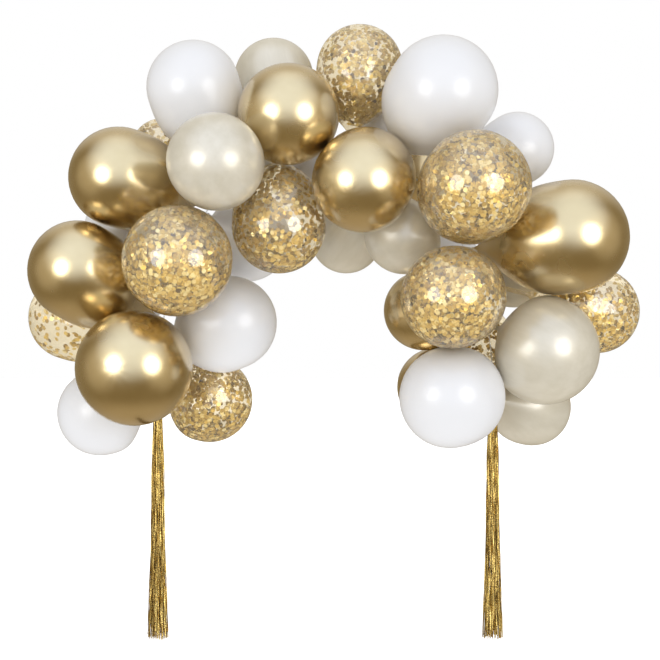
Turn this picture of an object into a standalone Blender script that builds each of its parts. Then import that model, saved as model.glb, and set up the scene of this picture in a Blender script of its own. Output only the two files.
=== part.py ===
"""Balloon arch: knotted balloons packed round a bent plastic strip, with a tinsel tassel at each foot.

Metres, +Z up, seen from the front along +Y. The origin is on the underside of the strip's level
stretch at the crown, where a hook carries the arch.
"""

import math
from typing import NamedTuple

import bpy
import numpy as np
from mathutils import Matrix, Vector

# The arch line is half an ellipse along the underside of the strip, with a straight tail below each foot.
ARCH_HALF_WIDTH = 0.410
ARCH_RISE = 0.600
TAIL_LENGTH = 0.060

# The strip that every knot sits against, and the level stretch at its crown.
STRIP_WIDTH = 0.016
STRIP_THICKNESS = 0.0014
STRIP_FACETS_PER_SIDE = 20
HANG_FLAT = 0.044

# Diameters that the balloons are blown up to.
WIDEST = 0.276
WIDE = 0.264
LARGE = 0.244
MEDIUM = 0.228
MODEST = 0.212
SMALL = 0.196
SMALLER = 0.180
MINI = 0.150

# Balloon form: a ball that tapers to a neck and ends in a flared knot.
NECK_RADIUS = 0.0060
KNOT_RADIUS = 0.0080
NECK_LENGTH = 0.014
TAPER_REACH = 1.85
TAPER_FULLNESS = 0.32
BALLOON_SIDES = 12
CROWN_ANGLES = (34, 64)
TAPER_SHARES = (0.27, 0.52, 0.76, 0.92)
MERGE_DISTANCE = 0.00005

# Room between neighbours.
KNOT_SPACING = 3 * KNOT_RADIUS
TOUCH_GAP = 0.0009
TIE_GAP = 0.0010

# Settling moves overlapping balloons apart, mostly in depth, until they overlap by less than SETTLED.
# It sees each balloon as a chain of spheres, called beads.
SETTLE_ROUNDS = 900
SETTLE_STEP = 0.40
SIDE_FREEDOM = 0.06
SETTLED = 0.0002
LEAST_DISTANCE = 0.0001
BODY_BEADS = 11
LAST_BODY_BEAD = 0.94
NECK_BEADS = 4
BEAD_MARGIN = 0.0015
OUTLINE_SAMPLES = 41
STRIP_SAMPLES = 151

# The tassels: a tied head, then pleats of tinsel that flare to a ragged end.
TASSEL_LENGTH = 0.566
TASSEL_HEAD_WIDTH = 0.016
TASSEL_WAIST_WIDTH = 0.026
TASSEL_END_WIDTH = 0.053
TASSEL_WAIST_SHARE = 0.06
TASSEL_FLARE_POWER = 2.2
TASSEL_FLATNESS = 0.62
TASSEL_RAGGED = 0.016
RAGGED_POWER = 8
RAGGED_TURN = 2.4
TASSEL_SIDES = 18
TASSEL_RINGS = 7
PLEAT_DEPTH = 0.16
PLEAT_FULL_SHARE = 0.25

MATERIALS = {
    "gold": {"colour": (0.60, 0.43, 0.17), "metallic": 1.0, "roughness": 0.22},
    "white": {"colour": (0.86, 0.86, 0.88), "metallic": 0.0, "roughness": 0.35},
    "pearl": {"colour": (0.72, 0.67, 0.57), "metallic": 0.0, "roughness": 0.30},
    "confetti": {"colour": (0.70, 0.53, 0.25), "metallic": 0.2, "roughness": 0.20},
    "strip": {"colour": (0.85, 0.87, 0.88), "metallic": 0.0, "roughness": 0.25},
    "tinsel": {"colour": (0.62, 0.45, 0.18), "metallic": 1.0, "roughness": 0.30},
}


class Balloon(NamedTuple):
    """One balloon's finish, size and place before settling."""

    finish: str
    diameter: float
    degrees: float  # round the arch from its right foot
    outside: float  # of the arch line, in the plane of the arch
    behind: float  # the arch line
    lean: float = 0.0  # degrees from its place to its knot


BALLOONS = (
    # In front of the strip, from the left foot to the right one.
    Balloon("gold", WIDEST, 176.0, 0.047, -0.200),
    Balloon("confetti", WIDE, 149.5, -0.011, -0.225),
    Balloon("pearl", MEDIUM, 124.0, 0.038, -0.255),
    Balloon("gold", LARGE, 100.0, 0.058, -0.150),
    Balloon("gold", LARGE, 71.0, -0.088, -0.195),
    Balloon("confetti", WIDE, 45.5, 0.074, -0.220),
    Balloon("confetti", LARGE, 23.0, -0.081, -0.215),
    Balloon("white", LARGE, -2.0, -0.111, -0.150),
    # Round the outer edge.
    Balloon("white", MODEST, 186.5, 0.141, 0.010),
    Balloon("confetti", MODEST, 167.0, 0.235, 0.135, 5.0),
    Balloon("gold", LARGE, 158.5, 0.222, -0.080, 6.5),
    Balloon("gold", LARGE, 139.0, 0.219, -0.065, -5.0),
    Balloon("white", MEDIUM, 116.5, 0.230, -0.080, 9.0),
    Balloon("pearl", SMALL, 101.0, 0.177, 0.050),
    Balloon("confetti", MODEST, 82.0, 0.183, 0.048),
    Balloon("white", WIDE, 65.5, 0.199, -0.090),
    Balloon("white", SMALLER, 47.0, 0.238, 0.000),
    Balloon("gold", WIDEST, 27.5, 0.244, -0.130, 5.5),
    Balloon("confetti", MODEST, 14.0, 0.267, 0.150, 9.0),
    Balloon("pearl", WIDE, 7.5, 0.128, -0.035, 7.0),
    Balloon("pearl", SMALL, -5.5, 0.109, 0.155),
    # Round the inner edge.
    Balloon("confetti", MODEST, 183.0, -0.122, 0.058),
    Balloon("white", MEDIUM, 162.0, -0.160, -0.055, 10.0),
    Balloon("confetti", MEDIUM, 123.0, -0.161, -0.115, -18.0),
    Balloon("pearl", SMALLER, 64.5, -0.214, 0.100),
    Balloon("pearl", SMALL, 46.5, -0.112, -0.020),
    Balloon("gold", SMALL, 21.5, -0.143, 0.025),
    Balloon("gold", SMALL, 0.0, -0.127, 0.085),
    # Behind the strip.
    Balloon("white", MINI, 148.5, 0.187, 0.110),
    Balloon("white", MINI, 158.5, 0.080, 0.100),
    Balloon("white", MODEST, 135.0, -0.113, 0.100),
    Balloon("white", MINI, 98.0, -0.097, 0.045),
    Balloon("pearl", MINI, 22.5, 0.105, 0.100, 5.0),
    Balloon("confetti", MINI, 10.5, -0.013, 0.115, -4.0),
    Balloon("confetti", MINI, 129.5, 0.192, 0.085),
    Balloon("white", MINI, 71.5, 0.083, 0.145),
    # The plain back row, which leaves the crown free for a hook.
    Balloon("white", SMALL, 177.0, 0.020, 0.210),
    Balloon("gold", SMALL, 147.0, 0.010, 0.220),
    Balloon("pearl", SMALL, 115.0, 0.050, 0.180),
    Balloon("gold", SMALL, 57.0, 0.040, 0.190),
    Balloon("white", SMALLER, 31.0, -0.045, 0.170),
)

ALONG_DEPTH = np.array((0.0, 1.0, 0.0))
FOOT_DEGREES = (0.0, 180.0)
TAIL_DEGREES = math.degrees(TAIL_LENGTH / ARCH_RISE)
LINE_SAMPLES = 4001
SPREAD_ROUNDS = 400


def arch_point(degrees):
    """Points on the arch line, which runs straight down below its feet."""
    turn = np.radians(np.clip(degrees, *FOOT_DEGREES))
    below = np.maximum(FOOT_DEGREES[0] - degrees, 0.0) + np.maximum(degrees - FOOT_DEGREES[1], 0.0)
    x = ARCH_HALF_WIDTH * np.cos(turn)
    z = ARCH_RISE * (np.sin(turn) - 1.0 - np.radians(below))
    return np.stack((x, np.zeros_like(x), z), axis=-1)


def arch_normal(degrees):
    """The outward directions of the arch line, in the plane of the arch."""
    turn = np.radians(np.clip(degrees, *FOOT_DEGREES))
    normals = np.stack((np.cos(turn) / ARCH_HALF_WIDTH, np.zeros_like(turn), np.sin(turn) / ARCH_RISE), axis=-1)
    return normals / np.linalg.norm(normals, axis=-1, keepdims=True)


def knot_stations(degrees):
    """Spreads crowded knots along the strip, on the strip's own length and clear of the crown's level stretch."""
    samples = np.linspace(FOOT_DEGREES[0] - TAIL_DEGREES, FOOT_DEGREES[1] + TAIL_DEGREES, LINE_SAMPLES)
    steps = np.linalg.norm(np.diff(arch_point(samples), axis=0), axis=1)
    lengths = np.concatenate(((0.0,), np.cumsum(steps)))
    order = np.argsort(degrees, kind="stable")
    place = np.interp(degrees[order], samples, lengths)
    crown, right_foot, left_foot = np.interp((90.0, *FOOT_DEGREES), samples, lengths)
    end_room = TAIL_LENGTH - KNOT_SPACING
    crown_room = HANG_FLAT / 2 + KNOT_RADIUS
    for _ in range(SPREAD_ROUNDS):
        short = np.maximum(KNOT_SPACING - np.diff(place), 0.0) / 2
        place[:-1] -= short
        place[1:] += short
        on_right = place < crown
        place = np.where(on_right, np.minimum(place, crown - crown_room), np.maximum(place, crown + crown_room))
        place = np.clip(place, right_foot - end_room, left_foot + end_room)
    stations = np.empty(len(place))
    stations[order] = np.interp(place, lengths, samples)
    return stations


def strip_folds():
    """Degrees of the folds between the strip's flat facets, and the folds' places on its underside."""
    crown_edge = math.degrees(math.acos(HANG_FLAT / 2 / ARCH_HALF_WIDTH))
    right = np.linspace(FOOT_DEGREES[0], crown_edge, STRIP_FACETS_PER_SIDE + 1)
    right = np.concatenate(((FOOT_DEGREES[0] - TAIL_DEGREES,), right))
    degrees = np.concatenate((right, FOOT_DEGREES[1] - right[::-1]))
    places = arch_point(degrees)
    places[len(right) - 1 : len(right) + 1, 2] = 0.0
    return degrees, places


def strip_middle(stations):
    """Points halfway through the strip's thickness, and the outward directions of its facets there."""
    folds, places = strip_folds()
    facet = np.clip(np.searchsorted(folds, stations, side="right") - 1, 0, len(folds) - 2)
    share = (stations - folds[facet]) / (folds[facet + 1] - folds[facet])
    run = places[facet + 1] - places[facet]
    normals = np.stack((run[:, 2], np.zeros(len(run)), -run[:, 0]), axis=-1)
    normals /= np.linalg.norm(normals, axis=1, keepdims=True)
    return places[facet] + run * share[:, None] + normals * STRIP_THICKNESS / 2, normals


def knot_ends(centres, stations):
    """Where each knot's flat end sits: just clear of the strip, on the side that its balloon is on."""
    middle, normals = strip_middle(stations)
    lean = centres - middle
    lean /= np.linalg.norm(lean, axis=1, keepdims=True)
    outward = np.abs(np.sum(lean * normals, axis=1))
    depth = np.abs(lean[:, 1])
    along = np.sqrt(np.clip(1.0 - outward**2 - depth**2, 0.0, 1.0))
    reach = outward * STRIP_THICKNESS / 2 + depth * STRIP_WIDTH / 2 + along * (KNOT_RADIUS + STRIP_WIDTH)
    return middle + lean * (reach + TIE_GAP)[:, None]


def half_width(share):
    """The taper's half width as a share of the radius, from the widest ring (0) to the neck (1)."""
    return np.cos(np.pi / 2 * share) * (1.0 + TAPER_FULLNESS * share * np.sin(np.pi * share))


def taper_length(reach, radius):
    """From the widest ring to the neck. A small balloon far from the strip has a longer neck."""
    return np.minimum(TAPER_REACH * radius, reach - NECK_LENGTH)


def bead_chain(centres, knots, radii):
    """Spheres that fill each balloon from its body to its knot: their centres and radii."""
    axes = knots - centres
    reach = np.linalg.norm(axes, axis=1)
    axes /= reach[:, None]
    tapers = taper_length(reach, radii)
    samples = np.linspace(0.0, 1.0, OUTLINE_SAMPLES)
    outline = np.maximum(half_width(samples)[None, :] * radii[:, None], NECK_RADIUS)
    places = [centres]
    sizes = [radii]
    for share in np.linspace(0.0, LAST_BODY_BEAD, BODY_BEADS)[1:]:
        offsets = (samples[None, :] - share) * tapers[:, None]
        places.append(centres + axes * (share * tapers)[:, None])
        sizes.append(np.min(np.hypot(offsets, outline), axis=1) + BEAD_MARGIN)
    for share in np.linspace(0.0, 1.0, NECK_BEADS + 1)[1:]:
        along = tapers + share * (reach - tapers) - KNOT_RADIUS
        places.append(centres + axes * along[:, None])
        sizes.append(np.full(len(radii), KNOT_RADIUS))
    return np.stack(places, axis=1), np.stack(sizes, axis=1)


def deepest_overlaps(beads, sizes):
    """For each pair of balloons, how deep their beads overlap at worst, and in which direction."""
    count, per = sizes.shape
    flat_beads = beads.reshape(-1, 3)
    flat_sizes = sizes.reshape(-1)
    apart = flat_beads[:, None] - flat_beads[None, :]
    distance = np.linalg.norm(apart, axis=2)
    overlap = flat_sizes[:, None] + flat_sizes[None, :] + TOUCH_GAP - distance
    blocks = overlap.reshape(count, per, count, per).transpose(0, 2, 1, 3).reshape(count, count, -1)
    own_pairs = np.arange(count)
    blocks[own_pairs, own_pairs] = 0.0
    deepest = blocks.argmax(axis=2)
    depth = np.take_along_axis(blocks, deepest[:, :, None], axis=2)[:, :, 0]
    first = deepest // per + own_pairs[:, None] * per
    second = deepest % per + own_pairs[None, :] * per
    direction = apart[first, second] / np.maximum(distance[first, second], LEAST_DISTANCE)[:, :, None]
    return np.maximum(depth, 0.0), direction


def strip_overlaps(beads, sizes):
    """How deep each balloon's body sits in the strip, and the way out of it."""
    folds, _ = strip_folds()
    samples, _ = strip_middle(np.linspace(folds[0], folds[-1], STRIP_SAMPLES))
    away = beads[:, :BODY_BEADS, None] - samples[None, None]
    away[..., 1] = np.sign(away[..., 1]) * np.maximum(np.abs(away[..., 1]) - STRIP_WIDTH / 2, 0.0)
    distance = np.linalg.norm(away, axis=3)
    depth = sizes[:, :BODY_BEADS, None] + TOUCH_GAP + STRIP_THICKNESS - distance
    balloons = np.arange(len(beads))
    deepest = depth.reshape(len(beads), -1).argmax(axis=1)
    depth = depth.reshape(len(beads), -1)[balloons, deepest]
    distance = distance.reshape(len(beads), -1)[balloons, deepest]
    away = away.reshape(len(beads), -1, 3)[balloons, deepest]
    return np.maximum(depth, 0.0), away / np.maximum(distance, LEAST_DISTANCE)[:, None]


def settle(centres, radii, stations):
    """Pushes balloons that overlap each other or the strip apart, a little at a time, until they just touch."""
    freedom = SETTLE_STEP * np.array((SIDE_FREEDOM, 1.0, SIDE_FREEDOM))
    for _ in range(SETTLE_ROUNDS):
        beads, sizes = bead_chain(centres, knot_ends(centres, stations), radii)
        depth, direction = deepest_overlaps(beads, sizes)
        strip_depth, strip_direction = strip_overlaps(beads, sizes)
        if max(depth.max(), strip_depth.max()) < SETTLED:
            break
        push = (depth[:, :, None] * direction).sum(axis=1) + strip_depth[:, None] * strip_direction
        centres = centres + freedom * push
    return centres


def place_balloons():
    """The body centre, knot end and radius of each balloon, after settling."""
    degrees, outside, behind, leans, diameters = np.array(
        [(b.degrees, b.outside, b.behind, b.lean, b.diameter) for b in BALLOONS]
    ).T
    centres = arch_point(degrees) + arch_normal(degrees) * outside[:, None] + ALONG_DEPTH * behind[:, None]
    stations = knot_stations(degrees + leans)
    centres = settle(centres, diameters / 2, stations)
    return centres, knot_ends(centres, stations), diameters / 2


def balloon_profile(radius, reach):
    """The outline of one balloon at +X, from its crown down to the flat end of its knot at height 0."""
    taper = float(taper_length(reach, radius))
    points = [(0.0, reach + radius)]
    for angle in CROWN_ANGLES:
        turn = math.radians(angle)
        points.append((radius * math.sin(turn), reach + radius * math.cos(turn)))
    points.append((radius, reach))
    for share in TAPER_SHARES:
        points.append((radius * float(half_width(share)), reach - share * taper))
    return points + [(NECK_RADIUS, reach - taper), (KNOT_RADIUS, 0.0), (0.0, 0.0)]


def material(name):
    """The shared material of one finish."""
    found = bpy.data.materials.get(name)
    if found:
        return found
    found = bpy.data.materials.new(name)
    found.use_nodes = True
    shader = found.node_tree.nodes["Principled BSDF"]
    look = MATERIALS[name]
    shader.inputs["Base Color"].default_value = (*look["colour"], 1.0)
    shader.inputs["Metallic"].default_value = look["metallic"]
    shader.inputs["Roughness"].default_value = look["roughness"]
    return found


def add_mesh(name, points, edges, faces, finish, collection):
    mesh = bpy.data.meshes.new(name)
    mesh.from_pydata(points, edges, faces)
    mesh.materials.append(material(finish))
    item = bpy.data.objects.new(name, mesh)
    collection.objects.link(item)
    return item


def add_balloon(name, finish, centre, knot, radius, collection):
    """A balloon turned from its outline, with its knot's end at its origin and its body along its own +Z."""
    axis = Vector(centre - knot)
    profile = balloon_profile(radius, axis.length)
    points = [(x, 0.0, z) for x, z in profile]
    edges = [(i, i + 1) for i in range(len(points) - 1)]
    item = add_mesh(name, points, edges, [], finish, collection)
    turned = item.modifiers.new("turned", "SCREW")
    turned.steps = BALLOON_SIDES
    turned.render_steps = BALLOON_SIDES
    turned.use_merge_vertices = True
    turned.merge_threshold = MERGE_DISTANCE
    item.matrix_world = Matrix.Translation(Vector(knot)) @ axis.to_track_quat("Z", "Y").to_matrix().to_4x4()


def add_balloons(collection):
    centres, knots, radii = place_balloons()
    numbers = {}
    for balloon, centre, knot, radius in zip(BALLOONS, centres, knots, radii):
        finish = balloon.finish
        numbers[finish] = numbers.get(finish, 0) + 1
        add_balloon(f"{finish}_balloon_{numbers[finish]:02d}", finish, centre, knot, radius, collection)


def add_strip(collection):
    """The strip: a ribbon along the arch line, thickened outwards."""
    _, line = strip_folds()
    points = []
    for x, _, z in line:
        points += [(x, -STRIP_WIDTH / 2, z), (x, STRIP_WIDTH / 2, z)]
    faces = [(2 * i, 2 * i + 1, 2 * i + 3, 2 * i + 2) for i in range(len(line) - 1)]
    item = add_mesh("garland_strip", points, [], faces, "strip", collection)
    shell = item.modifiers.new("thickness", "SOLIDIFY")
    shell.thickness = STRIP_THICKNESS
    shell.offset = 1.0
    shell.use_even_offset = True


def tassel_half_width(share):
    """Half the tassel's width from its head (0) to its end (1)."""
    head, waist, end = TASSEL_HEAD_WIDTH / 2, TASSEL_WAIST_WIDTH / 2, TASSEL_END_WIDTH / 2
    swell = min(share / TASSEL_WAIST_SHARE, 1.0)
    return head + (waist - head) * swell + (end - waist) * share**TASSEL_FLARE_POWER


def add_tassel(name, side, collection):
    """A pleated, slightly flattened hank of tinsel, ragged at its end."""
    top = Vector((side * ARCH_HALF_WIDTH, 0.0, -ARCH_RISE - TAIL_LENGTH - TIE_GAP))
    points = []
    for ring in range(TASSEL_RINGS):
        share = ring / (TASSEL_RINGS - 1)
        half = tassel_half_width(share)
        pleat_depth = PLEAT_DEPTH * min(share / PLEAT_FULL_SHARE, 1.0)
        raggedness = TASSEL_RAGGED * share**RAGGED_POWER
        for step in range(TASSEL_SIDES):
            turn = 2 * math.pi * step / TASSEL_SIDES
            pleated = half * (1.0 - pleat_depth * (step % 2))
            shortness = raggedness * (1.0 + math.sin(step * RAGGED_TURN + side)) / 2
            x = pleated * math.cos(turn)
            y = pleated * math.sin(turn) * TASSEL_FLATNESS
            points.append(top + Vector((x, y, shortness - TASSEL_LENGTH * share)))
    faces = [tuple(range(TASSEL_SIDES))]
    for ring in range(TASSEL_RINGS - 1):
        for step in range(TASSEL_SIDES):
            after = (step + 1) % TASSEL_SIDES
            upper, lower = ring * TASSEL_SIDES, (ring + 1) * TASSEL_SIDES
            faces.append((upper + after, upper + step, lower + step, lower + after))
    last = (TASSEL_RINGS - 1) * TASSEL_SIDES
    points.append(top - Vector((0.0, 0.0, TASSEL_LENGTH - TASSEL_RAGGED)))
    for step in range(TASSEL_SIDES):
        faces.append((last + (step + 1) % TASSEL_SIDES, last + step, len(points) - 1))
    add_mesh(name, points, [], faces, "tinsel", collection)


def main():
    for item in list(bpy.data.objects):
        bpy.data.objects.remove(item, do_unlink=True)
    collection = bpy.data.collections.new("balloon_arch")
    bpy.context.scene.collection.children.link(collection)
    add_strip(collection)
    add_balloons(collection)
    add_tassel("tassel_left", -1, collection)
    add_tassel("tassel_right", 1, collection)


main()
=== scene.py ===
"""The balloon arch dressed for its picture: latex skins, foil dots and tinsel in a plain white studio.

Lengths are in metres and angles in degrees, except where a value is a share of something.
"""

import math

import bpy
import numpy as np
from mathutils import Matrix, Vector


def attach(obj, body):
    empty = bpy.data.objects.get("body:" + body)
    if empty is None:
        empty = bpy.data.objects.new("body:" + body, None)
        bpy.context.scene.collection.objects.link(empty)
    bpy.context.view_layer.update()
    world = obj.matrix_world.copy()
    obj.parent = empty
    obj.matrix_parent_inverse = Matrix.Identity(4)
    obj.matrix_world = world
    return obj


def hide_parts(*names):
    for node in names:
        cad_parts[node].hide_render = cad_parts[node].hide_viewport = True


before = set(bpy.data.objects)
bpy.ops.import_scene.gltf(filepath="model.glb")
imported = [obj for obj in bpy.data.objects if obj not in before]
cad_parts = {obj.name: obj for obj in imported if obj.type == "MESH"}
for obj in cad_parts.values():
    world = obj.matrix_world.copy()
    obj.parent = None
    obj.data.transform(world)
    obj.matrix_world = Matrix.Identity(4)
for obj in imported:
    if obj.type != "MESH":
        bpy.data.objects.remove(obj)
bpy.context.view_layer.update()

# Balloon form, as the solids have it.
KNOT_RADIUS = 0.0080
NECK_RADIUS = 0.0060
NECK_LENGTH = 0.014
TAPER_REACH = 1.85
TAPER_FULLNESS = 0.32

# How the knot's mouth shows in a solid: how far apart its rim's points are at most, and how level they are.
RIM_SPREAD = 2.1 * KNOT_RADIUS
RIM_SLACK = 0.0001

# Fineness of the balloons, and how sharply a taper turns into its neck.
BALLOON_SIDES = 48
CROWN_RINGS = 14
TAPER_RINGS = 24
NECK_RINGS = 4
SEAM_SHARPNESS = 3.0

# Small swells on the balloons: their depth as a share of the radius, then for each set how many go round
# and how many radians they turn on the way up.
WOBBLE = 0.007
SWELLS = ((2, 2.5), (3, -4.0))

# Pleats near the neck: their number, their depth as a share of the half width there, and the share of the
# balloon's width that is lost where they start.
PLEATS = 9
PLEAT_DEPTH = 0.12
PLEAT_START = 0.72

# The tied knot: heights above the knot's end, and radii, in order from the mouth up to the neck.
KNOT_OUTLINE = (
    (0.0030, 0.0040),
    (0.0014, 0.0052),
    (0.0002, 0.0066),
    (0.0010, 0.0078),
    (0.0024, 0.0070),
    (0.0040, 0.0044),
    (0.0056, 0.0040),
    (0.0074, 0.0062),
    (0.0094, 0.0064),
    (0.0112, 0.0046),
)

# Foil dots that cling to the inside of the clear balloons, a share of them loosely and with a steeper lean.
# None are where the half width is under the narrowest.
DOT_DIAMETER = 0.0116
DOT_THICKNESS = 0.00012
DOT_SIDES = 7
DOT_CLEARANCE = 0.0005
DOT_TILT = 17.0
LOOSE_TILTS = (8.0, 38.0)
LOOSE_SHARE = 0.20
# How the dots' colours spread, from nearly black painted shade to pale gold that is partly a painted glint.
DOT_TINT_AND_SHADE_SHAPE = (1.3, 1.5)
DOT_NARROWEST = 4 * NECK_RADIUS

# How many places are tried for each dot. How likely it is to cling at any, and how much likelier below, in
# front and on one random side.
PLACES_TRIED = 6
CLING_ANYWHERE = 0.20
CLING_BELOW = 0.8
CLING_FRONT = 0.7
CLING_SIDE = 0.3

# Patches with more and fewer dots, from crossing waves that multiply how likely a dot is to cling.
PATCH_WAVES = 5
PATCH_FINENESS = 38.0
PATCH_SHIFT = 6.0
PATCH_MIDDLE = 0.8
PATCH_STRENGTH = 0.15
PATCH_LIMITS = (0.4, 1.3)

# The most foil that each clear balloon holds, by its number: the dots' whole area as a share of the body's.
DOT_COVER = (1.6, 1.6, 1.5, 0.25, 1.1, 1.0, 1.3, 1.0, 0.7, 0.9)

# How finely the pearl's clouds are drawn across the balloon and along it.
PEARL_DRAW = (1.0, 1.0, 0.25)

# The levels at which a tassel's solid is measured, and how near a point is to one, as shares of its length.
TASSEL_LEVELS = np.linspace(0.0, 1.0, 7)
LEVEL_SLACK = 0.04

# Tinsel strands. A crowding of 0.5 spreads them evenly, and a lower one puts more near the outside.
STRANDS = 230
STRAND_STEPS = 24
STRAND_WIDTH = 0.0014
STRAND_THICKNESS = 0.00022
STRAND_CROWDING = 0.35
STRAND_START = 0.004
# How the strands' colours spread, from dark brown gold, which is partly painted shade, to pale gold.
STRAND_TINT_AND_SHADE_SHAPE = (1.0, 1.0)

# How strands sway, and how they twist and curl, in radians.
STRAND_SWAY = 0.0011
SWAY_GROWTH = 5
SWAY_WAVES = (14, 17)
STRAND_TWIST = 9.0
STRAND_CURL = 1.2
CURL_WAVES = 13

# How much shorter strands are, as shares of the tassel's length: at random, and near its outside.
RAGGEDNESS = 0.05
RAGGED_POWER = 1.5
OUTER_LIFT = 0.015

# The wrapping round a tassel's head. Its widths, in the grooves and on the ribs, are shares of the head's,
# and its depth is a share of its own width.
BAND_SIDES = 24
BAND_HEIGHT = 0.020
BAND_RIBS = 7
BAND_DROP = 0.001
BAND_WIDTHS = (0.88, 0.98)
BAND_DEPTH = 0.8
BAND_TINT = 0.35

# Camera, at the photograph's distance and framing.
CAMERA_PLACE = (0.01225, -6.5, -0.4655)
SENSOR_WIDTH = 0.036
FRAME_WIDTH = 1.617

# The two soft lights beside the camera.
LIGHT_DISTANCE = 4.6
LIGHT_TURN = 38.0
LIGHT_RISE = 0.10
LIGHT_DIAMETERS = (2.5, 2.8)
LIGHT_RADIANCE = 4.6

# The studio that the balloons mirror: its darkest colour, and broad patches of light that are added to it,
# each with its direction, inner and outer angle, and colour.
STUDIO_BASE = (0.30, 0.235, 0.13)
STUDIO_PATCHES = (
    ((0.0, -0.743, 0.669), 10.0, 78.0, (0.98, 1.20, 1.66)),
    ((-0.92, -0.38, 0.05), 8.0, 50.0, (0.30, 0.29, 0.26)),
    ((0.92, -0.38, 0.05), 8.0, 50.0, (0.30, 0.29, 0.26)),
    ((0.0, 0.57, 0.82), 8.0, 55.0, (0.42, 0.44, 0.46)),
    ((0.0, 0.45, -0.90), 10.0, 55.0, (0.24, 0.21, 0.17)),
)

# What isn't a mirror gets a share of that light without its tints, an even glow, and a glow from below.
MATT_SHARE = 0.31
EVEN_GLOW = 0.66
FLOOR_GLOW = 0.38
FLOOR_PATCH = ((0.0, 0.0, -1.0), 80.0, 100.0)

WHITE = (1.0, 1.0, 1.0, 1.0)

FLOOR_HEIGHT = -1.32
FLOOR_RADIUS = 40.0
FLOOR_SIDES = 64


class Nodes:
    """Short ways to add nodes to a material or a world."""

    def __init__(self, owner):
        owner.use_nodes = True
        self.tree = owner.node_tree

    def add(self, kind, inputs=None, **settings):
        """A node whose inputs are numbers, colours or other nodes' outputs."""
        node = self.tree.nodes.new(kind)
        for setting, value in settings.items():
            setattr(node, setting, value)
        for key, value in (inputs or {}).items():
            self.feed(node.inputs[key], value)
        return node

    def feed(self, socket, value):
        if isinstance(value, bpy.types.NodeSocket):
            self.tree.links.new(value, socket)
        else:
            socket.default_value = value

    def math(self, operation, *values):
        return self.add("ShaderNodeMath", dict(enumerate(values)), operation=operation).outputs["Value"]

    def vector_math(self, operation, *values, output="Vector"):
        node = self.add("ShaderNodeVectorMath", dict(enumerate(values)), operation=operation)
        return node.outputs[output]

    def remap(self, value, low, high, to_low=0.0, to_high=1.0, **settings):
        inputs = {"Value": value, "From Min": low, "From Max": high, "To Min": to_low, "To Max": to_high}
        return self.add("ShaderNodeMapRange", inputs, **settings).outputs["Result"]


class Shader(Nodes):
    """A Principled material, with its even values set at once and the rest driven by nodes."""

    def __init__(self, name, **values):
        self.material = bpy.data.materials.new(name)
        super().__init__(self.material)
        self.surface = self.tree.nodes["Principled BSDF"]
        for socket, value in values.items():
            self.surface.inputs[socket.replace("_", " ")].default_value = value

    def drive(self, socket, output):
        self.tree.links.new(output, self.surface.inputs[socket])

    def attribute(self, name, output="Fac"):
        return self.add("ShaderNodeAttribute", attribute_name=name).outputs[output]

    def place(self):
        """The piece's own coordinates, which a balloon has along its axis from its knot."""
        return self.attribute("place", "Vector")

    def noise(self, vector, scale, detail=2.0):
        inputs = {"Vector": vector, "Scale": scale, "Detail": detail}
        return self.add("ShaderNodeTexNoise", inputs).outputs["Fac"]

    def blend(self, share, first, second):
        """A colour between two, by a share from 0 to 1."""
        node = self.add("ShaderNodeMix", {"Factor": share}, data_type="RGBA")
        for key, value in (("A", first), ("B", second)):
            socket = next(s for s in node.inputs if s.name == key and s.type == "RGBA")
            self.feed(socket, value if isinstance(value, bpy.types.NodeSocket) else (*value, 1.0))
        return next(s for s in node.outputs if s.type == "RGBA")

    def bump(self, height, distance, strength):
        node = self.add("ShaderNodeBump", {"Height": height, "Distance": distance, "Strength": strength})
        self.drive("Normal", node.outputs["Normal"])

    def cloudy_skin(self, share, dark, light, neck, stretches):
        """Latex between two colours, and of a third near the neck, where it is stretched least."""
        stretched = self.remap(self.attribute("stretch"), *stretches)
        self.drive("Base Color", self.blend(stretched, neck, self.blend(share, dark, light)))


def gold_latex():
    """Chrome gold: a metallic skin, duller where it is thick near the neck."""
    shader = Shader("gold_latex", Metallic=1.0, Coat_Weight=1.0, Coat_Roughness=0.20, Coat_IOR=1.45)
    cloud = shader.noise(shader.place(), 14.0)
    share = shader.remap(cloud, 0.35, 0.65)
    shader.cloudy_skin(share, (0.62, 0.485, 0.255), (0.66, 0.525, 0.29), (0.54, 0.39, 0.17), (0.15, 0.85))
    rough = shader.remap(shader.attribute("stretch"), 0.2, 0.9, 0.32, 0.25)
    uneven = shader.remap(cloud, 0.3, 0.7, -0.02, 0.03)
    shader.drive("Roughness", shader.math("ADD", rough, uneven))
    shader.bump(shader.noise(shader.place(), 420.0, 3.0), 0.0001, 0.3)
    return shader.material


def white_latex():
    """Opaque white, a little greyer and duller where it is thick near the neck."""
    shader = Shader("white_latex", Coat_Weight=0.25, Coat_Roughness=0.12, Specular_IOR_Level=0.45)
    cloud = shader.noise(shader.place(), 11.0)
    shader.cloudy_skin(cloud, (0.83, 0.835, 0.86), (0.87, 0.875, 0.90), (0.76, 0.75, 0.75), (0.1, 0.8))
    shader.drive("Roughness", shader.remap(shader.attribute("stretch"), 0.1, 0.9, 0.52, 0.34))
    shader.bump(shader.noise(shader.place(), 520.0, 3.0), 0.0001, 0.35)
    return shader.material


def pearl_latex():
    """Ivory with a pearl lustre: a little metallic, with soft silky clouds drawn out along the balloon."""
    shader = Shader("pearl_latex", Metallic=0.16, Coat_Weight=0.45, Coat_Roughness=0.12)
    cloud = shader.noise(shader.vector_math("MULTIPLY", shader.place(), PEARL_DRAW), 34.0, 3.0)
    share = shader.remap(cloud, 0.35, 0.65)
    shader.cloudy_skin(share, (0.685, 0.635, 0.515), (0.75, 0.70, 0.585), (0.60, 0.54, 0.42), (0.1, 0.8))
    shader.drive("Roughness", shader.remap(cloud, 0.3, 0.7, 0.38, 0.28))
    shader.bump(shader.noise(shader.place(), 600.0, 3.0), 0.00005, 0.3)
    return shader.material


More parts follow.
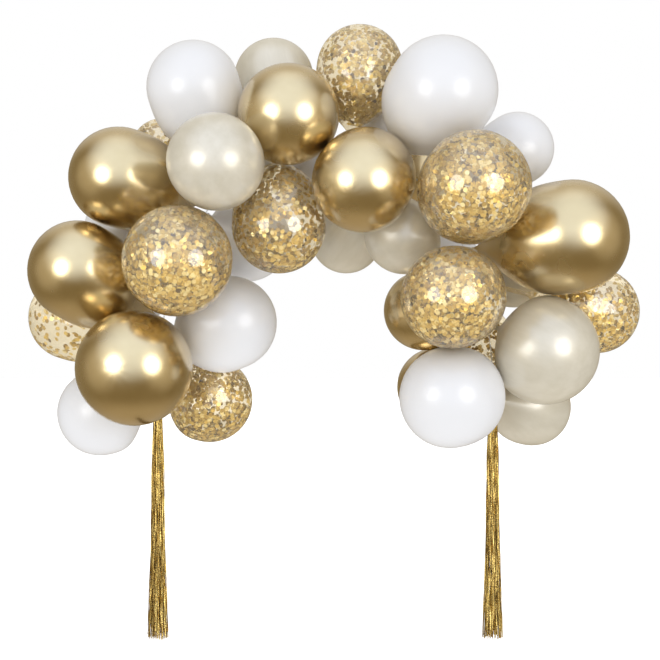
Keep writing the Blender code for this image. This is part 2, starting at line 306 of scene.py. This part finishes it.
def clear_latex():
    """A thin clear skin, a little milky and warm. Most light goes straight through it."""
    shader = Shader(
        "clear_latex", Base_Color=(0.98, 0.87, 0.63, 1.0), Transmission_Weight=0.78, IOR=1.02,
        Coat_Weight=1.0, Coat_IOR=1.75, Coat_Roughness=0.09,
    )
    shader.drive("Roughness", shader.remap(shader.noise(shader.place(), 22.0), 0.3, 0.7, 0.0, 0.03))
    return shader.material


def foil_dots():
    """Metallised gold film. Each dot has a colour from nearly black to pale gold, which partly paints how
    much light it catches: the nearly black ones are painted shade, and the palest are partly painted glints.
    """
    shader = Shader("foil_dots", Metallic=0.9)
    tint_and_shade = shader.attribute("tint_and_shade")
    # Painted shade: the lowest shares make nearly black dots, as if they lay in shadow.
    dark = shader.blend(shader.remap(tint_and_shade, 0.05, 0.07), (0.10, 0.06, 0.02), (0.42, 0.27, 0.05))
    gold = shader.blend(shader.remap(tint_and_shade, 0.07, 0.55), dark, (0.74, 0.55, 0.16))
    # The palest gold is partly a painted glint.
    shader.drive("Base Color", shader.blend(shader.remap(tint_and_shade, 0.55, 1.0), gold, (0.94, 0.87, 0.57)))
    shader.drive("Roughness", shader.remap(shader.noise(shader.place(), 160.0), 0.3, 0.7, 0.26, 0.42))
    return shader.material


def tinsel():
    """Narrow strips of metallised film, each in a colour from dark brown gold to pale gold. The spread is
    partly tone that differs at random and partly painted shade: the dark brown strands stand in for the
    shaded lines among the strands.
    """
    shader = Shader("tinsel", Metallic=1.0)
    # The dark brown end is partly painted shade.
    shader.drive("Base Color", shader.blend(shader.attribute("tint_and_shade"), (0.18, 0.10, 0.02), (0.86, 0.63, 0.20)))
    crinkle = shader.noise(shader.place(), 300.0)
    shader.drive("Roughness", shader.remap(crinkle, 0.3, 0.7, 0.16, 0.30))
    shader.bump(crinkle, 0.0008, 0.8)
    return shader.material


def clear_plastic():
    """Soft clear plastic, cloudy from handling."""
    shader = Shader("clear_plastic", Base_Color=(0.90, 0.92, 0.93, 1.0), Transmission_Weight=0.7, IOR=1.3)
    shader.drive("Roughness", shader.remap(shader.noise(shader.place(), 60.0, 3.0), 0.3, 0.7, 0.22, 0.40))
    return shader.material


def mesh_piece(name, points, faces, material, replaced=None, smooth=True, matrix=None, values=None):
    """A mesh that rides with the arch, with values kept on its points as named attributes."""
    points = np.asarray(points, dtype=np.float32)
    mesh = bpy.data.meshes.new(name)
    mesh.from_pydata(points, [], faces)
    mesh.materials.append(material)
    if smooth:
        mesh.shade_smooth()
    place = mesh.attributes.new("place", "FLOAT_VECTOR", "POINT")
    place.data.foreach_set("vector", points.reshape(-1))
    for key, numbers in (values or {}).items():
        kept = mesh.attributes.new(key, "FLOAT", "POINT")
        kept.data.foreach_set("value", np.asarray(numbers, dtype=np.float32))
    if matrix is not None:
        mesh.transform(matrix)
    piece = bpy.data.objects.new(name, mesh)
    bpy.context.scene.collection.objects.link(piece)
    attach(piece, "root")
    if replaced:
        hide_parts(replaced)


def grid_faces(rings, sides):
    """Quads between rings of points that go round and close."""
    faces = []
    for ring in range(rings - 1):
        low, high = ring * sides, (ring + 1) * sides
        for side in range(sides):
            after = (side + 1) % sides
            faces.append((low + side, low + after, high + after, high + side))
    return faces


def measure_balloon(node):
    """The middle of the knot's mouth, the axis, the body's radius and its distance from the mouth.

    The solid's two points that are furthest apart are its crown, where no other point is near, and a point
    of the mouth's rim, where the rest of the rim is.
    """
    found = np.array([v.co for v in node.data.vertices])
    found = np.unique(found.round(5), axis=0)
    apart = np.linalg.norm(found[:, None] - found[None, :], axis=2)
    near = apart < RIM_SPREAD
    crown, rim = sorted(np.unravel_index(apart.argmax(), apart.shape), key=lambda end: near[end].sum())
    mouth = near[rim] & (apart[crown] > apart[crown, rim] - RIM_SLACK)
    knot = found[mouth].mean(axis=0)
    axis = found[crown] - knot
    length = np.linalg.norm(axis)
    axis /= length
    along = (found - knot) @ axis
    radius = np.linalg.norm(found - knot - along[:, None] * axis, axis=1).max()
    return knot, axis, radius, length - radius


def taper_width(share):
    """The taper's half width as a share of the radius, from the widest ring (0) to the neck (1)."""
    return np.cos(np.pi / 2 * share) * (1.0 + TAPER_FULLNESS * share * np.sin(np.pi * share))


def balloon_outline(radius, reach):
    """Heights and half widths of a balloon's rings, from the knot's mouth to just short of the crown."""
    taper = min(TAPER_REACH * radius, reach - NECK_LENGTH)
    heights = [height for height, _ in KNOT_OUTLINE]
    widths = [width for _, width in KNOT_OUTLINE]
    heights.extend(np.linspace(NECK_LENGTH, reach - taper, NECK_RINGS + 1)[:-1])
    widths.extend([NECK_RADIUS] * NECK_RINGS)
    shares = np.linspace(1.0, 0.0, TAPER_RINGS + 1)
    heights.extend(reach - shares * taper)
    body = taper_width(shares) * radius
    widths.extend((body**SEAM_SHARPNESS + NECK_RADIUS**SEAM_SHARPNESS) ** (1 / SEAM_SHARPNESS))
    turns = np.linspace(0.0, np.pi / 2, CROWN_RINGS + 1)[1:-1]
    heights.extend(reach + radius * np.sin(turns))
    widths.extend(radius * np.cos(turns))
    return np.array(heights), np.array(widths)


def balloon_points(radius, reach, random):
    """A balloon's rings of points with its small unevenness, and how far each point's latex is stretched."""
    heights, widths = (values[:, None] for values in balloon_outline(radius, reach))
    turns = np.linspace(0.0, 2 * np.pi, BALLOON_SIDES, endpoint=False)[None, :]
    phases = random.uniform(0.0, 2 * np.pi, 4)
    width_share = np.clip(widths / radius, 0.0, 1.0)
    swell = len(SWELLS)
    for (lobes, twist), phase in zip(SWELLS, phases):
        swell = swell + np.sin(lobes * turns + phase + twist * heights / reach)
    wobble = 1.0 - WOBBLE * swell / (2 * len(SWELLS)) * width_share
    near_neck = np.clip(1.0 - widths / radius / (1.0 - PLEAT_START), 0.0, 1.0)
    on_neck = np.clip((heights - KNOT_OUTLINE[-1][0]) / NECK_LENGTH, 0.0, 1.0)
    pleats = 1.0 - PLEAT_DEPTH * near_neck * on_neck * (1.0 + np.cos(PLEATS * turns + phases[2])) / 2
    reaches = widths * wobble * pleats
    z = np.broadcast_to(heights, reaches.shape)
    points = np.stack((reaches * np.cos(turns), reaches * np.sin(turns), z), axis=-1)
    stretch = np.where(z > reach, 1.0, width_share)
    return points.reshape(-1, 3), stretch.reshape(-1), len(heights)


def frame_of(knot, axis):
    """Places a shape whose knot's end is at its origin and whose body is along its own +Z."""
    turn = Vector(axis).to_track_quat("Z", "Y").to_matrix().to_4x4()
    return Matrix.Translation(Vector(knot)) @ turn


def add_balloon(node_name, material, random):
    """One balloon's skin, closed at its mouth and crown. Its placing and sizes are for what it holds."""
    knot, axis, radius, reach = measure_balloon(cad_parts[node_name])
    points, stretch, rings = balloon_points(radius, reach, random)
    faces = grid_faces(rings, BALLOON_SIDES)
    mouth, crown = len(points), len(points) + 1
    points = np.concatenate((points, ((0.0, 0.0, KNOT_OUTLINE[0][0]), (0.0, 0.0, reach + radius))))
    values = {"stretch": np.concatenate((stretch, (0.0, 1.0)))}
    last = (rings - 1) * BALLOON_SIDES
    for side in range(BALLOON_SIDES):
        after = (side + 1) % BALLOON_SIDES
        faces.append((mouth, after, side))
        faces.append((crown, last + side, last + after))
    matrix = frame_of(knot, axis)
    mesh_piece(f"{node_name}_skin", points, faces, material, node_name, matrix=matrix, values=values)
    return matrix, radius, reach


def dot_spots(radius, reach, count, clumps, random):
    """Where dots cling: points on the skin, and its outward directions there, thicker towards each clump."""
    heights, widths = balloon_outline(radius, reach)
    body = (widths > DOT_NARROWEST) | (heights > reach)
    heights = np.append(heights[body], reach + radius)
    widths = np.append(widths[body], 0.0)
    rise, narrowing = np.diff(heights), -np.diff(widths)
    areas = np.hypot(rise, narrowing) * (widths[1:] + widths[:-1])
    ring = random.choice(len(areas), size=PLACES_TRIED * count, p=areas / areas.sum())
    mix = random.uniform(size=len(ring))
    height = heights[ring] + mix * rise[ring]
    width = widths[ring] - mix * narrowing[ring]
    turn = random.uniform(0.0, 2 * np.pi, len(ring))
    slope = np.arctan2(rise[ring], narrowing[ring])
    outward = np.stack((np.sin(slope) * np.cos(turn), np.sin(slope) * np.sin(turn), np.cos(slope)), axis=-1)
    spots = np.stack((width * np.cos(turn), width * np.sin(turn), height), axis=-1)
    likely = np.full(len(ring), CLING_ANYWHERE)
    for direction, weight in clumps:
        likely += weight * np.clip(outward @ direction, 0.0, 1.0) ** 2
    patches = np.zeros(len(ring))
    for _ in range(PATCH_WAVES):
        wave = random.normal(0.0, PATCH_FINENESS, 3)
        patches += np.sin(spots @ wave + random.uniform(0.0, PATCH_SHIFT))
    likely *= np.clip(PATCH_MIDDLE + PATCH_STRENGTH * patches, *PATCH_LIMITS)
    kept = random.uniform(size=len(ring)) * likely.max() < likely
    return spots[kept][:count], outward[kept][:count]


def add_dots(node_name, matrix, radius, reach, cover, material, random):
    """The foil dots inside one clear balloon: thin discs that lean at random, just clear of its skin."""
    dot_radius = DOT_DIAMETER / 2
    count = int(cover * 4 * radius**2 / dot_radius**2)
    turned = np.array(matrix.to_3x3()).T
    down = turned @ np.array((0.0, 0.0, -1.0))
    front = turned @ np.array((0.0, -1.0, 0.0))
    side = random.normal(size=3)
    clumps = ((down, CLING_BELOW), (front, CLING_FRONT), (side / np.linalg.norm(side), CLING_SIDE))
    spots, outward = dot_spots(radius, reach, count, clumps, random)
    count = len(spots)
    loose = random.uniform(size=count) < LOOSE_SHARE
    tilt = np.abs(random.normal(0.0, DOT_TILT, count))
    tilt = np.radians(np.where(loose, random.uniform(*LOOSE_TILTS, count), tilt))
    first = np.cross(outward, random.normal(size=(count, 3)))
    first /= np.linalg.norm(first, axis=1, keepdims=True)
    second = np.cross(outward, first)
    facing = outward * np.cos(tilt)[:, None] + first * np.sin(tilt)[:, None]
    first = np.cross(second, facing)
    depth = DOT_CLEARANCE + WOBBLE * radius + dot_radius * np.sin(tilt)
    centres = spots - outward * depth[:, None]
    turns = np.linspace(0.0, 2 * np.pi, DOT_SIDES, endpoint=False)[None, :, None]
    rim = first[:, None] * np.cos(turns) + second[:, None] * np.sin(turns)
    rim = centres[:, None] + rim * dot_radius
    lift = facing[:, None] * DOT_THICKNESS / 2
    points = np.concatenate((rim - lift, rim + lift), axis=1).reshape(-1, 3)
    faces = []
    for low in range(0, 2 * DOT_SIDES * count, 2 * DOT_SIDES):
        high = low + DOT_SIDES
        faces.append(tuple(reversed(range(low, high))))
        faces.append(tuple(range(high, high + DOT_SIDES)))
        faces.extend(tuple(low + corner for corner in face) for face in grid_faces(2, DOT_SIDES))
    # Each dot's colour share. Its dark end is painted shade, and its pale end is partly a painted glint.
    values = {"tint_and_shade": np.repeat(random.beta(*DOT_TINT_AND_SHADE_SHAPE, count), 2 * DOT_SIDES)}
    name = f"{node_name}_dots"
    mesh_piece(name, points, faces, material, matrix=matrix, smooth=False, values=values)


FINISHES = {
    "gold": (gold_latex, "gold_latex"),
    "white": (white_latex, "white_latex"),
    "pearl": (pearl_latex, "pearl_latex"),
    "confetti": (clear_latex, "clear_latex"),
}


def add_balloons():
    """A skin for each balloon, in the finish that its name starts with, and dots in the clear ones."""
    dots = foil_dots()
    materials = {finish: make() for finish, (make, _) in FINISHES.items()}
    for node_name in sorted(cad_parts):
        finish = node_name.split("_")[0]
        if finish not in FINISHES:
            continue
        number = int(node_name.split("_")[-1])
        random = np.random.default_rng([number, len(finish), ord(finish[0])])
        matrix, radius, reach = add_balloon(node_name, materials[finish], random)
        if finish == "confetti":
            add_dots(node_name, matrix, radius, reach, DOT_COVER[number - 1], dots, random)


def measure_tassel(node):
    """The solid's middle, top and bottom, and its half widths across and in depth at each level."""
    found = np.array([v.co for v in node.data.vertices])
    middle = (found.min(axis=0) + found.max(axis=0)) / 2
    top, bottom = found[:, 2].max(), found[:, 2].min()
    across, deep = [], []
    for level in TASSEL_LEVELS:
        near = np.abs((top - found[:, 2]) / (top - bottom) - level) < LEVEL_SLACK
        across.append(np.abs(found[near, 0] - middle[0]).max())
        deep.append(np.abs(found[near, 1] - middle[1]).max())
    return middle, top, bottom, across, deep


def strand_points(middle, top, length, across, deep, random):
    """Rings of four points down one flat strand, which hangs with a slight sway, twist and curl."""
    spread = random.uniform() ** STRAND_CROWDING
    turn = random.uniform(0.0, 2 * math.pi)
    end = 1.0 - RAGGEDNESS * random.uniform() ** RAGGED_POWER - OUTER_LIFT * spread**2
    shares = np.linspace(STRAND_START, end, STRAND_STEPS + 1)
    wide = np.interp(shares, TASSEL_LEVELS, across) + STRAND_SWAY
    thick = np.interp(shares, TASSEL_LEVELS, deep) + STRAND_SWAY
    waves = random.uniform(0.0, 2 * math.pi, 4)
    sway = STRAND_SWAY * np.minimum(shares * SWAY_GROWTH, 1.0)
    x = middle[0] + wide * spread * math.cos(turn) + sway * np.sin(SWAY_WAVES[0] * shares + waves[0])
    y = middle[1] + thick * spread * math.sin(turn) + sway * np.sin(SWAY_WAVES[1] * shares + waves[1])
    line = np.stack((x, y, top - length * shares), axis=-1)
    twist = random.normal(0.0, STRAND_TWIST) * shares
    yaw = waves[2] + twist + STRAND_CURL * np.sin(CURL_WAVES * shares + waves[3])
    level = np.zeros_like(yaw)
    flat = np.stack((np.cos(yaw), np.sin(yaw), level), axis=-1) * STRAND_WIDTH / 2
    edge = np.stack((-np.sin(yaw), np.cos(yaw), level), axis=-1) * STRAND_THICKNESS / 2
    corners = (line + flat + edge, line - flat + edge, line - flat - edge, line + flat - edge)
    return np.stack(corners, axis=1).reshape(-1, 3)


def add_tassel(node_name, material, random):
    """Strands of tinsel tied under a wrapped head, spreading a little to a ragged end."""
    middle, top, bottom, across, deep = measure_tassel(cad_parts[node_name])
    points, faces, tint_and_shade = [], [], []
    for _ in range(STRANDS):
        start = len(points)
        points.extend(strand_points(middle, top, top - bottom, across, deep, random).tolist())
        faces.extend(tuple(start + corner for corner in face) for face in grid_faces(STRAND_STEPS + 1, 4))
        faces.append(tuple(range(start, start + 4)))
        faces.append(tuple(reversed(range(len(points) - 4, len(points)))))
        # Each strand's colour share. Its dark brown end is partly painted shade.
        tint_and_shade.extend([random.beta(*STRAND_TINT_AND_SHADE_SHAPE)] * (len(points) - start))
    add_band(points, faces, tint_and_shade, middle, top, across[0])
    name = f"{node_name}_strands"
    mesh_piece(name, points, faces, material, node_name, smooth=False, values={"tint_and_shade": tint_and_shade})


def add_band(points, faces, tint_and_shade, middle, top, width):
    """The ribbed wrapping round a tassel's head, added to its strands."""
    rings = 2 * BAND_RIBS + 1
    start = len(points)
    for ring in range(rings):
        reach = width * BAND_WIDTHS[ring % 2]
        height = top - BAND_DROP - BAND_HEIGHT * ring / rings
        for side in range(BAND_SIDES):
            turn = 2 * math.pi * side / BAND_SIDES
            x = middle[0] + reach * math.cos(turn)
            y = middle[1] + BAND_DEPTH * reach * math.sin(turn)
            points.append((x, y, height))
    faces.extend(tuple(start + corner for corner in face[::-1]) for face in grid_faces(rings, BAND_SIDES))
    faces.append(tuple(range(start, start + BAND_SIDES)))
    faces.append(tuple(reversed(range(len(points) - BAND_SIDES, len(points)))))
    tint_and_shade.extend([BAND_TINT] * (rings * BAND_SIDES))


def add_tassels():
    material = tinsel()
    for number, node_name in enumerate(("tassel_left", "tassel_right")):
        add_tassel(node_name, material, np.random.default_rng([7, number]))


def dress_strip():
    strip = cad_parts["garland_strip"]
    strip.data.materials.clear()
    strip.data.materials.append(clear_plastic())


def add_light(side, diameter):
    """A round soft light beside the camera, for the highlights. The studio round the arch does the rest."""
    turn = math.radians(LIGHT_TURN)
    middle = Vector((CAMERA_PLACE[0], 0.0, CAMERA_PLACE[2]))
    offset = Vector((side * math.sin(turn), -math.cos(turn), LIGHT_RISE)) * LIGHT_DISTANCE
    light = bpy.data.lights.new("soft_light", "AREA")
    light.shape = "DISK"
    light.size = diameter
    light.energy = LIGHT_RADIANCE * math.pi * math.pi * (diameter / 2) ** 2
    lamp = bpy.data.objects.new("soft_light", light)
    lamp.location = middle + offset
    lamp.rotation_euler = (-offset).to_track_quat("-Z", "Y").to_euler()
    lamp.visible_camera = False
    lamp.visible_diffuse = False
    bpy.context.scene.collection.objects.link(lamp)


def light_patch(nodes, place, direction, inner, outer):
    """1 within the inner angle from a direction, and 0 beyond the outer one."""
    aim = nodes.vector_math("DOT_PRODUCT", place, Vector(direction).normalized(), output="Value")
    low, high = (math.cos(math.radians(angle)) for angle in (outer, inner))
    return nodes.remap(aim, low, high, interpolation_type="SMOOTHSTEP")


def background(nodes, colour):
    return nodes.add("ShaderNodeBackground", {"Color": colour}).outputs["Background"]


def either(nodes, share, first, second):
    """The first light, or the second where the share is 1 or more."""
    return nodes.add("ShaderNodeMixShader", {0: share, 1: first, 2: second}).outputs["Shader"]


def add_world():
    """White behind the arch. What the balloons mirror is a darker studio with broad patches of light."""
    world = bpy.data.worlds.new("studio")
    bpy.context.scene.world = world
    nodes = Nodes(world)
    nodes.tree.nodes.clear()
    place = nodes.add("ShaderNodeTexCoord").outputs["Generated"]
    total = STUDIO_BASE
    for direction, inner, outer, colour in STUDIO_PATCHES:
        share = light_patch(nodes, place, direction, inner, outer)
        total = nodes.vector_math("MULTIPLY_ADD", share, colour, total)
    grey = nodes.add("ShaderNodeRGBToBW", {"Color": total}).outputs["Val"]
    even = nodes.math("MULTIPLY_ADD", grey, MATT_SHARE, EVEN_GLOW)
    matt = nodes.math("MULTIPLY_ADD", light_patch(nodes, place, *FLOOR_PATCH), FLOOR_GLOW, even)
    path = nodes.add("ShaderNodeLightPath").outputs
    studio = either(nodes, path["Diffuse Depth"], background(nodes, total), background(nodes, matt))
    depth = nodes.math("ADD", path["Diffuse Depth"], path["Glossy Depth"])
    bounced = nodes.math("GREATER_THAN", depth, 0.5)
    surface = either(nodes, bounced, background(nodes, WHITE), studio)
    nodes.add("ShaderNodeOutputWorld", {"Surface": surface})


def add_floor():
    """A plain pale floor, bright enough to run into the white behind it."""
    shader = Shader(
        "pale_floor", Base_Color=(0.9, 0.9, 0.9, 1.0), Roughness=0.9,
        Emission_Color=WHITE, Emission_Strength=0.55,
    )
    turns = [2 * math.pi * side / FLOOR_SIDES for side in range(FLOOR_SIDES)]
    rim = [(FLOOR_RADIUS * math.cos(turn), FLOOR_RADIUS * math.sin(turn), FLOOR_HEIGHT) for turn in turns]
    mesh = bpy.data.meshes.new("floor")
    mesh.from_pydata(rim, [], [tuple(range(FLOOR_SIDES))])
    mesh.materials.append(shader.material)
    floor = bpy.data.objects.new("floor", mesh)
    floor.visible_glossy = False
    floor.visible_diffuse = False
    bpy.context.scene.collection.objects.link(floor)


def add_camera():
    camera = bpy.data.cameras.new("camera")
    camera.sensor_width = 1000 * SENSOR_WIDTH
    camera.lens = 1000 * SENSOR_WIDTH * -CAMERA_PLACE[1] / FRAME_WIDTH
    eye = bpy.data.objects.new("camera", camera)
    eye.location = CAMERA_PLACE
    eye.rotation_euler = (math.pi / 2, 0.0, 0.0)
    bpy.context.scene.collection.objects.link(eye)
    bpy.context.scene.camera = eye


bpy.context.scene.view_settings.view_transform = "Standard"
add_camera()
add_world()
for side, diameter in zip((-1, 1), LIGHT_DIAMETERS):
    add_light(side, diameter)
add_floor()
add_balloons()
add_tassels()
dress_strip()
